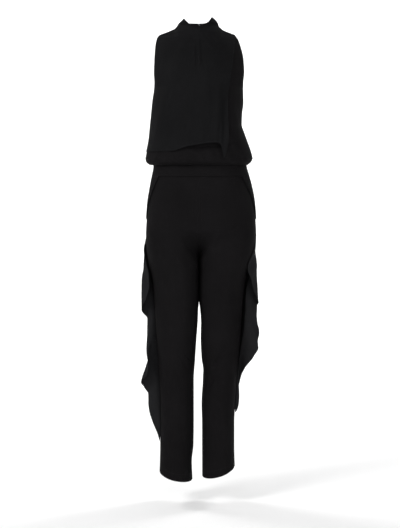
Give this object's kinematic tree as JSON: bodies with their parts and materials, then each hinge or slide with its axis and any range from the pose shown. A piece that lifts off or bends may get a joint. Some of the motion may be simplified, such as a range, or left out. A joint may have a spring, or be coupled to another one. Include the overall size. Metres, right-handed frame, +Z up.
{
  "type": "sleeveless jumpsuit",
  "caption": "Sleeveless full-length jumpsuit with a stand collar, loose front overlay, bloused waist, slant pockets, tapered legs and a cascading flounce in each side seam, as worn.",
  "frame": {"origin": "midway between the two shoulder seams, at the height where the wearer's shoulders carry the garment", "axes": "+Z up along the worn garment, -Y is its front, +X is the wearer's left"},
  "size_m": [0.3801, 0.2493, 1.4738],
  "materials": {
    "crepe": "matt black crepe with a faint sheen",
    "light_crepe": "matt black lighter crepe, a little paler where light falls on it"
  },
  "bodies": {
    "root": {"bodice_front": "crepe", "bodice_back_left": "crepe", "bodice_back_right": "crepe", "front_overlay": "light_crepe", "collar": "crepe", "waistband_front": "crepe", "waistband_back_left": "crepe", "waistband_back_right": "crepe", "leg_front_right": "crepe", "leg_back_right": "crepe", "pocket_right": "crepe", "flounce_right": "light_crepe", "leg_front_left": "crepe", "leg_back_left": "crepe", "pocket_left": "crepe", "flounce_left": "light_crepe"}
  },
  "joints": []
}
